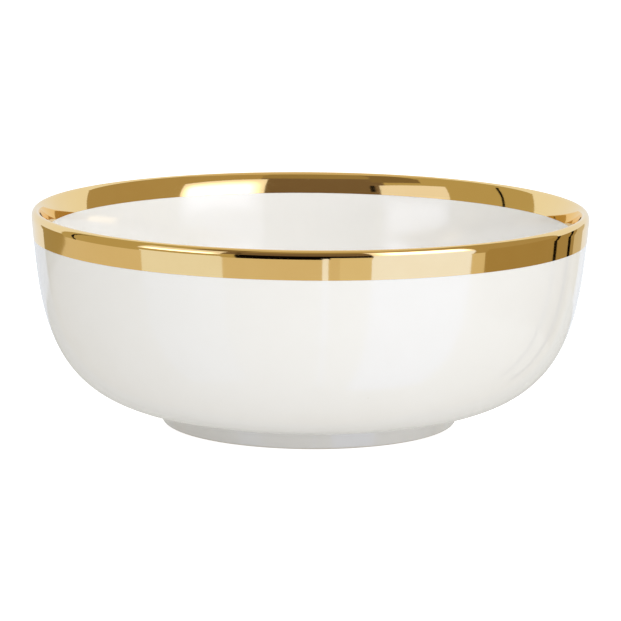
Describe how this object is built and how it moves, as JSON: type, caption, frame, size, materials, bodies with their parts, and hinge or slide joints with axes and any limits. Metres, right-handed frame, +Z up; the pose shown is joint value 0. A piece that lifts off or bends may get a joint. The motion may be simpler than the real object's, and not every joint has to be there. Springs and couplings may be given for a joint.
{
  "type": "porcelain serving bowl",
  "caption": "Round porcelain serving bowl with a deep rounded wall, a gilded band over its rim inside and out, and a low foot ring that it stands on.",
  "frame": {"origin": "centre of the circle that the foot ring stands on, in the plane of the table", "axes": "+Z up along the axis that the bowl is turned about; the bowl is round, so X and Y are any two directions square to it"},
  "size_m": [0.26, 0.26, 0.1005],
  "materials": {
    "bisque": "matte",
    "clear_glaze": "gloss",
    "gilding": "polished"
  },
  "bodies": {
    "root": {"clay_body": "bisque", "foot_ring": "bisque", "foot_well_glaze": "clear_glaze", "outside_glaze": "clear_glaze", "inside_glaze": "clear_glaze", "outside_gold_band": "gilding", "lip_gold": "gilding", "inside_gold_band": "gilding"}
  },
  "joints": []
}
